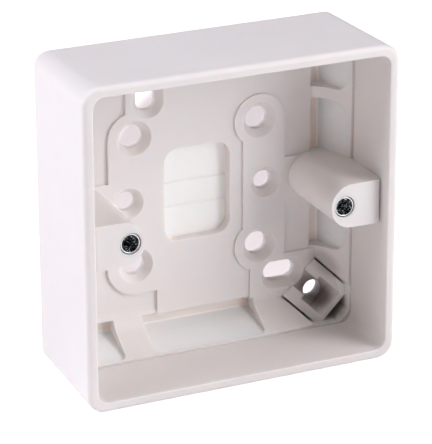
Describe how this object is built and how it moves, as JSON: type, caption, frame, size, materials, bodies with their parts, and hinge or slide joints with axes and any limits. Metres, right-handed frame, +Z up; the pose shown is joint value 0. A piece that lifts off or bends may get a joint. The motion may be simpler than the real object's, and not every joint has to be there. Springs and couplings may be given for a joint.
{
  "type": "surface back box",
  "caption": "Square moulded surface back box for a wiring accessory, open at the front, with two screw lugs, sunk wall-fixing holes, a knock-out cable entry and an earth terminal holder.",
  "frame": {"origin": "centre of the back, in the plane of the wall that the box is screwed to", "axes": "+Z up, +X to the right and -Y out of the open front, seen by someone who faces the wall"},
  "size_m": [0.0874, 0.035, 0.0874],
  "materials": {
    "white_moulding": "white urea moulding with a soft sheen",
    "plated_steel": "dull zinc-plated steel"
  },
  "bodies": {
    "root": {"housing": "white_moulding", "left_insert": "plated_steel", "right_insert": "plated_steel"}
  },
  "joints": []
}
